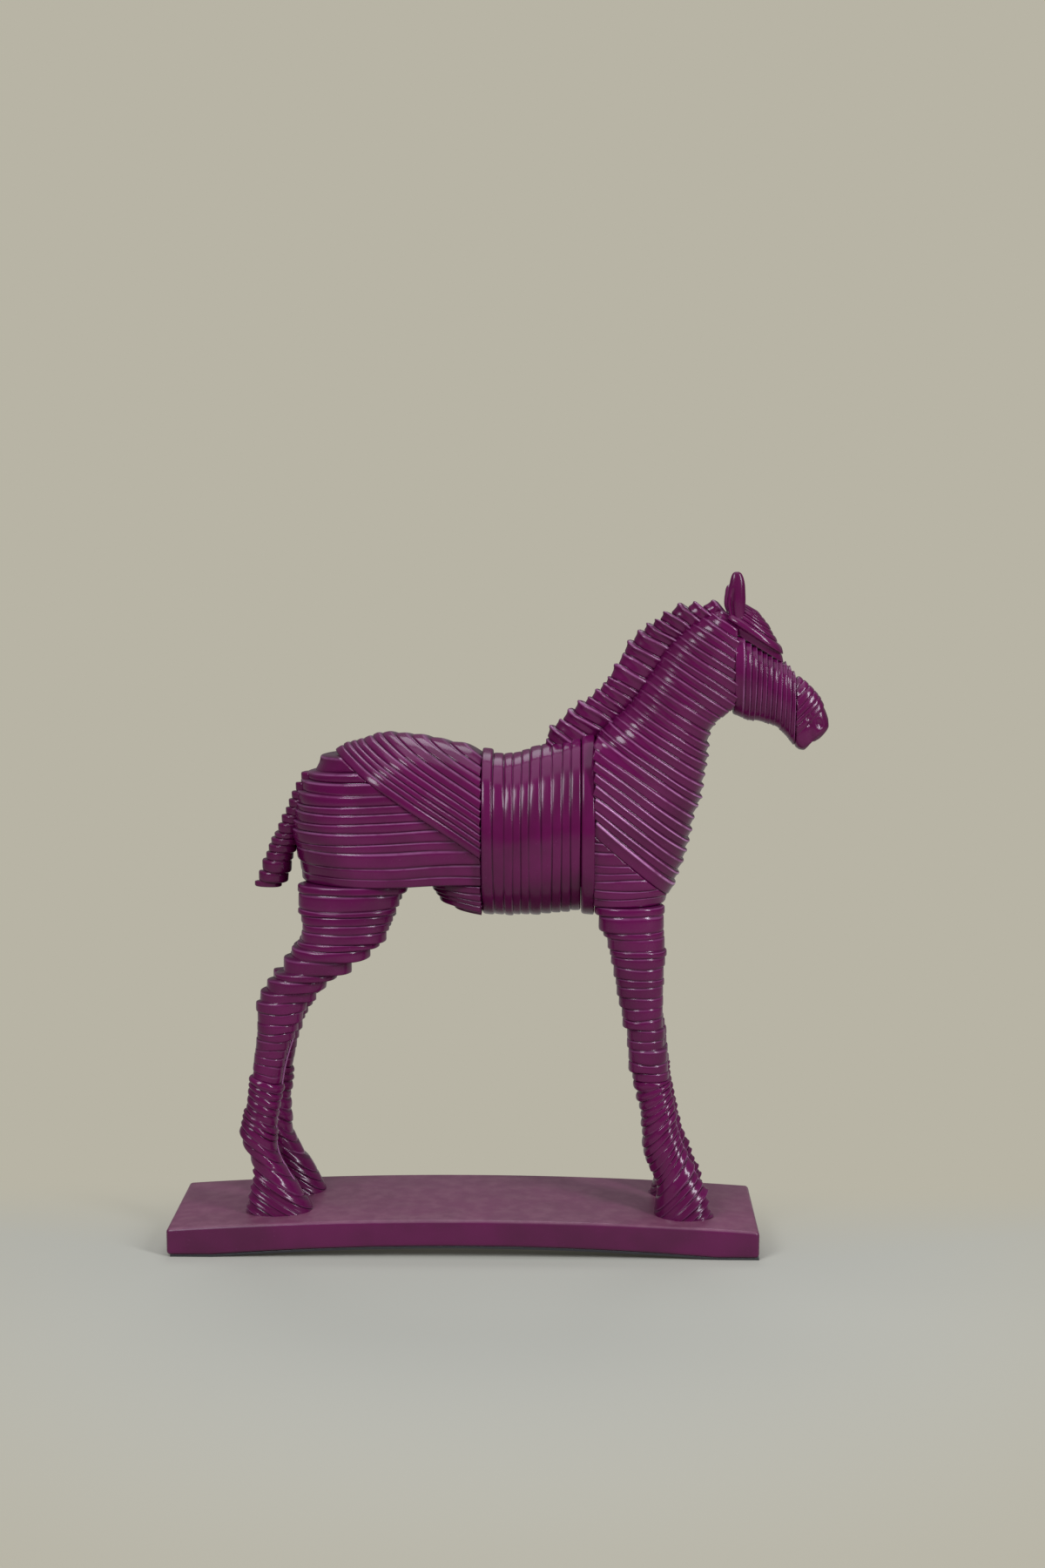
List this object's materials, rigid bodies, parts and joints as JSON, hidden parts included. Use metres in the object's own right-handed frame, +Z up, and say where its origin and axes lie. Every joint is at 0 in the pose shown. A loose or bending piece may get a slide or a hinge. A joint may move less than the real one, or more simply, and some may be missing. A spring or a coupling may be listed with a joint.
{
  "type": "horse sculpture",
  "caption": "Standing foal wound all over from flat strips, gloss painted in one colour, on a thin bowed slab with a felt underside.",
  "frame": {"origin": "centre of the bounding box in X and Y, on the plane that the felt rests on", "axes": "+X the way the foal faces, +Y to the foal's left, +Z up"},
  "size_m": [0.3796, 0.09, 0.3933],
  "materials": {
    "paint": "gloss",
    "resin": "matt, hidden inside",
    "steel": "plain",
    "felt": "short pile"
  },
  "bodies": {
    "root": {"haunch_winding": "paint", "croup_winding": "paint", "flank_winding": "paint", "girth_winding": "paint", "girth_strap": "paint", "breast_winding": "paint", "neck_winding": "paint", "mane_winding": "paint", "tail_winding": "paint", "brow_winding": "paint", "cheek_winding": "paint", "muzzle_winding": "paint", "ear_right": "paint", "ear_left": "paint", "hind_upper_right": "paint", "hind_upper_left": "paint", "hind_lower_right": "paint", "hind_lower_left": "paint", "fore_upper_right": "paint", "fore_upper_left": "paint", "fore_lower_right": "paint", "fore_lower_left": "paint", "base_slab": "paint", "body_core": "resin", "hind_rod_right": "steel", "hind_rod_left": "steel", "fore_rod_right": "steel", "fore_rod_left": "steel", "hind_nut_right": "steel", "hind_nut_left": "steel", "fore_nut_right": "steel", "fore_nut_left": "steel", "base_liner": "felt"}
  },
  "joints": []
}
